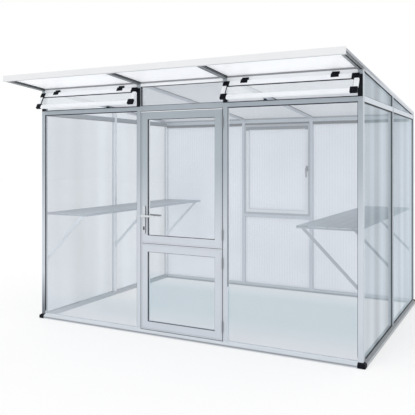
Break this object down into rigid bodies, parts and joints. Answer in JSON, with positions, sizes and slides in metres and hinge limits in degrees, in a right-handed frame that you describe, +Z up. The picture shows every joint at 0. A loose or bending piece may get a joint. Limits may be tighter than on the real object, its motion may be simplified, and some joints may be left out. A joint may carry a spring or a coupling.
{
  "type": "greenhouse",
  "caption": "Mono-pitch garden greenhouse of aluminium bars: split stable door, glass walls, top-hung vents under a deep roof overhang, rear window and inner shelves.",
  "frame": {"origin": "On the ground, under the middle of the front wall, at the flat underside of the base rails", "axes": "+X runs along the front to the right seen from outside, +Y from the front wall to the back wall, +Z up"},
  "size_m": [3.16, 2.8301, 2.2977],
  "materials": {
    "bare_aluminium": "satin, mill-finished extrusions",
    "clear_glass": "clear float glass, 4 mm",
    "twin_wall_sheet": "opal twin-wall polycarbonate, 10 mm",
    "rubber_seal": "matt black glazing seal",
    "black_plastic": "matt black moulded plastic",
    "grey_coated_metal": "grey powder-coated sheet and castings",
    "dull_steel": "dull brushed steel fittings"
  },
  "bodies": {
    "structure": {"back_eave_beam": "bare_aluminium", "back_sheets": "twin_wall_sheet", "base_corner_blocks": "black_plastic", "base_rails_front_back": "bare_aluminium", "base_rails_side": "bare_aluminium", "corner_posts": "bare_aluminium", "door_posts": "bare_aluminium", "eave_trim": "bare_aluminium", "fascia_rail": "bare_aluminium", "front_glass": "clear_glass", "front_header": "bare_aluminium", "gable_glass": "clear_glass", "hinge_frame_halves": "bare_aluminium", "latch_keep": "dull_steel", "opening_stops": "black_plastic", "rafters_middle": "bare_aluminium", "rafters_verge": "bare_aluminium", "roof_cap_bars": "bare_aluminium", "roof_seals": "rubber_seal", "roof_sheets": "twin_wall_sheet", "shelf_braces": "grey_coated_metal", "shelves": "grey_coated_metal", "side_glass": "clear_glass", "stay_rests": "black_plastic", "transoms": "bare_aluminium", "vent_hinge_bases": "black_plastic", "vent_seals": "rubber_seal", "verge_caps": "bare_aluminium", "wall_gaskets": "rubber_seal", "wall_posts": "bare_aluminium", "window_sill_rail": "bare_aluminium"},
    "door_upper": {"door_upper_frame": "bare_aluminium", "door_upper_glass": "clear_glass", "door_upper_gasket": "rubber_seal", "door_upper_hinges": "bare_aluminium", "door_lock": "bare_aluminium"},
    "lever": {"door_lever": "dull_steel"},
    "latch": {"latch_bolt": "dull_steel"},
    "door_lower": {"door_lower_frame": "bare_aluminium", "door_lower_glass": "clear_glass", "door_lower_gasket": "rubber_seal", "door_lower_hinges": "bare_aluminium", "tie_bolt_guides": "dull_steel"},
    "tie": {"tie_bolt": "dull_steel"},
    "vent_left": {"vent_left_frame": "bare_aluminium", "vent_left_glass": "clear_glass", "vent_left_gasket": "rubber_seal", "vent_left_corners": "black_plastic"},
    "stay_left": {"vent_left_stay": "grey_coated_metal"},
    "vent_right": {"vent_right_frame": "bare_aluminium", "vent_right_glass": "clear_glass", "vent_right_gasket": "rubber_seal", "vent_right_corners": "black_plastic"},
    "stay_right": {"vent_right_stay": "grey_coated_metal"},
    "window": {"window_frame": "bare_aluminium", "window_sheet": "twin_wall_sheet", "window_gasket": "rubber_seal", "window_hinges": "bare_aluminium", "window_handle_base": "dull_steel"},
    "window_catch": {"window_handle": "dull_steel"}
  },
  "joints": [
    {"name": "door_upper_swing", "type": "hinge", "parent": "structure", "child": "door_upper", "pos_m": [0.4045, -0.028, 1.3845], "axis": [0, 0, 1], "range_deg": [0, 110]},
    {"name": "door_lower_swing", "type": "hinge", "parent": "structure", "child": "door_lower", "pos_m": [0.4045, -0.028, 0.4215], "axis": [0, 0, 1], "range_deg": [0, 110]},
    {"name": "lever_turn", "type": "hinge", "parent": "door_upper", "child": "lever", "pos_m": [-0.367, -0.001, 1.045], "axis": [0, 1, 0], "range_deg": [0, 45], "stiffness_Nm_per_rad": 1.5, "springref_deg": -28.65},
    {"name": "latch_slide", "type": "slide", "parent": "door_upper", "child": "latch", "axis": [1, 0, 0], "range_m": [0, 0.0105]},
    {"name": "tie_slide", "type": "slide", "parent": "door_lower", "child": "tie", "axis": [0, 0, 1], "range_m": [0, 0.034]},
    {"name": "vent_left_tilt", "type": "hinge", "parent": "structure", "child": "vent_left", "pos_m": [-0.9835, -0.034, 2.186], "axis": [-1, 0, 0], "range_deg": [-29, 8]},
    {"name": "vent_right_tilt", "type": "hinge", "parent": "structure", "child": "vent_right", "pos_m": [0.9835, -0.034, 2.186], "axis": [-1, 0, 0], "range_deg": [-29, 8]},
    {"name": "stay_left_turn", "type": "hinge", "parent": "vent_left", "child": "stay_left", "pos_m": [-0.777, -0.08766, 2.03969], "axis": [-1, 0, 0], "range_deg": [-6, 19]},
    {"name": "stay_right_turn", "type": "hinge", "parent": "vent_right", "child": "stay_right", "pos_m": [0.777, -0.08766, 2.03969], "axis": [-1, 0, 0], "range_deg": [-6, 19]},
    {"name": "window_swing", "type": "hinge", "parent": "structure", "child": "window", "pos_m": [-0.4045, 2.298, 1.4205], "axis": [0, 0, 1], "range_deg": [0, 100]},
    {"name": "window_catch_turn", "type": "hinge", "parent": "window", "child": "window_catch", "pos_m": [0.38, 2.222, 1.436], "axis": [0, 1, 0], "range_deg": [0, 90]}
  ],
  "couplings": [
    {"joint": "latch_slide", "follows": "lever_turn", "m_per_rad": 0.0127},
    {"joint": "stay_left_turn", "follows": "vent_left_tilt", "ratio": -0.65},
    {"joint": "stay_right_turn", "follows": "vent_right_tilt", "ratio": -0.65}
  ]
}
